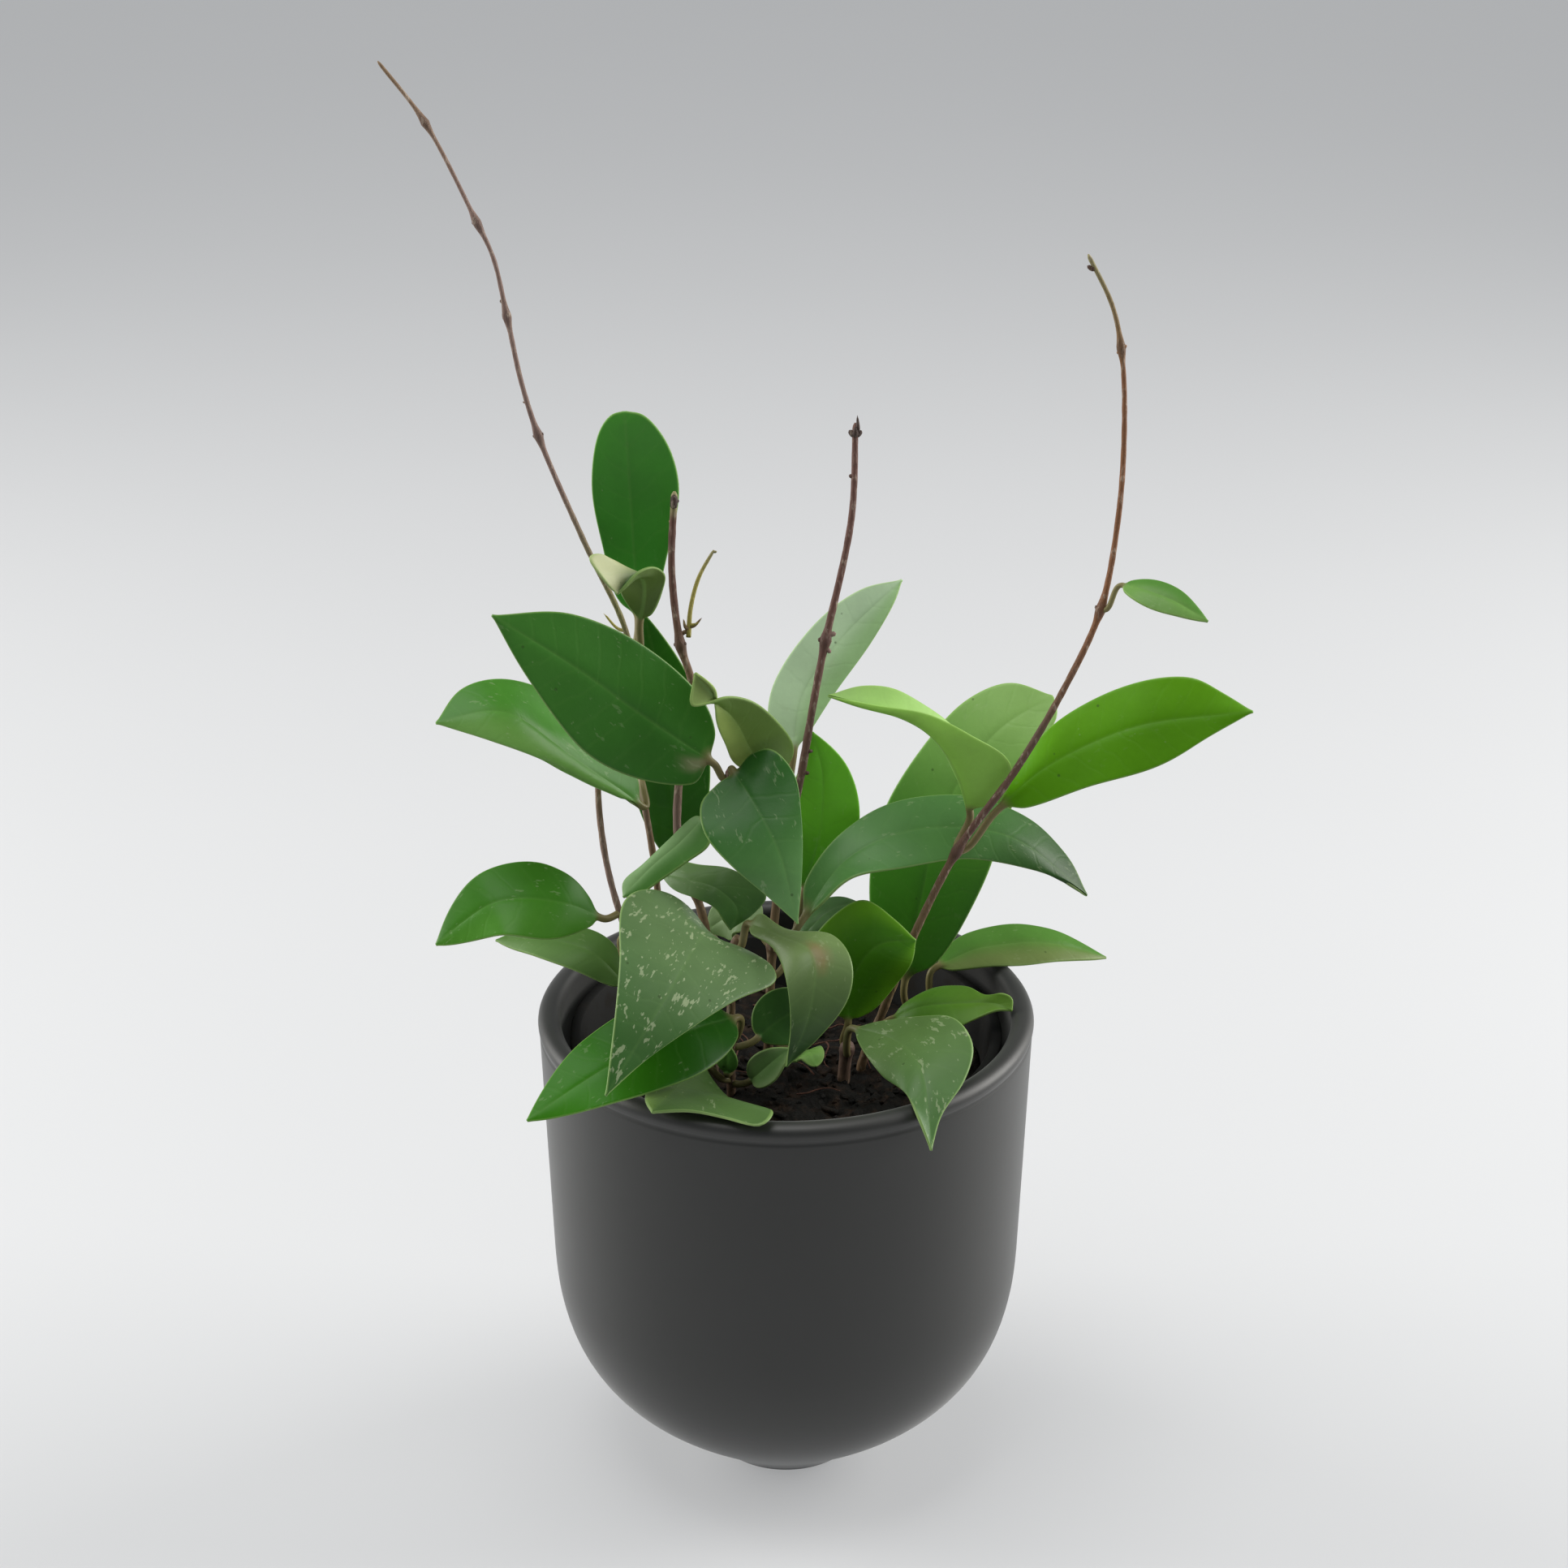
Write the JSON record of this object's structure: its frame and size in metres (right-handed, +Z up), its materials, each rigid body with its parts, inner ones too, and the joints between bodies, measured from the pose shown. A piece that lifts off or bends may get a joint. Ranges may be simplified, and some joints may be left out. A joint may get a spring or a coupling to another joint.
{
  "type": "potted hoya plant",
  "caption": "Climbing house plant with thick pointed leaves and long bare tendrils, in soil in a nursery pot inside a round-bottomed ceramic cover pot.",
  "frame": {"origin": "centre of the pot's flat foot, on the surface that it stands on", "axes": "+Z up along the pot's axis, -Y towards the viewer's side of the plant, +X to the viewer's right"},
  "size_m": [0.2215, 0.1447, 0.3943],
  "materials": {
    "pot_ceramic": "satin",
    "grow_pot_plastic": "satin",
    "potting_soil": "matte",
    "stem_bark": "matte",
    "stem_young": "satin",
    "leaf_bright": "satin",
    "leaf_deep": "satin",
    "leaf_waxy": "satin"
  },
  "bodies": {
    "root": {"grow_pot": "grow_pot_plastic", "leaf_arched_centre": "leaf_waxy", "leaf_behind_heart": "leaf_bright", "leaf_behind_left": "leaf_deep", "leaf_behind_long": "leaf_deep", "leaf_bent_front": "leaf_deep", "leaf_big_left": "leaf_deep", "leaf_bright_right": "leaf_bright", "leaf_broad_front": "leaf_bright", "leaf_curled_left": "leaf_waxy", "leaf_curled_tip_right": "leaf_bright", "leaf_dark_inner": "leaf_deep", "leaf_dark_low": "leaf_deep", "leaf_drooping_left": "leaf_waxy", "leaf_far_left_upper": "leaf_deep", "leaf_folded_right": "leaf_bright", "leaf_front_right": "leaf_waxy", "leaf_heart_centre": "leaf_deep", "leaf_left_lower": "leaf_bright", "leaf_left_upper": "leaf_bright", "leaf_long_right": "leaf_deep", "leaf_low_front": "leaf_waxy", "leaf_low_front_left": "leaf_bright", "leaf_pale_inner": "leaf_waxy", "leaf_rim_right": "leaf_deep", "leaf_round_low": "leaf_bright", "leaf_seedling_folded": "leaf_waxy", "leaf_seedling_left": "leaf_bright", "leaf_small_tendril": "leaf_bright", "leaf_speckled_front_left": "leaf_waxy", "leaf_tall_left": "leaf_waxy", "leaf_tall_right": "leaf_deep", "leaf_upright_centre": "leaf_waxy", "pot": "pot_ceramic", "soil": "potting_soil", "stem_back_short": "stem_bark", "stem_cut_main": "stem_bark", "stem_far_left": "stem_bark", "stem_front_short": "stem_bark", "stem_inner_branch": "stem_bark", "stem_left_tendril": "stem_bark", "stem_middle": "stem_bark", "stem_right_short": "stem_bark", "stem_right_tendril": "stem_bark", "stem_young_shoot": "stem_young"}
  },
  "joints": []
}
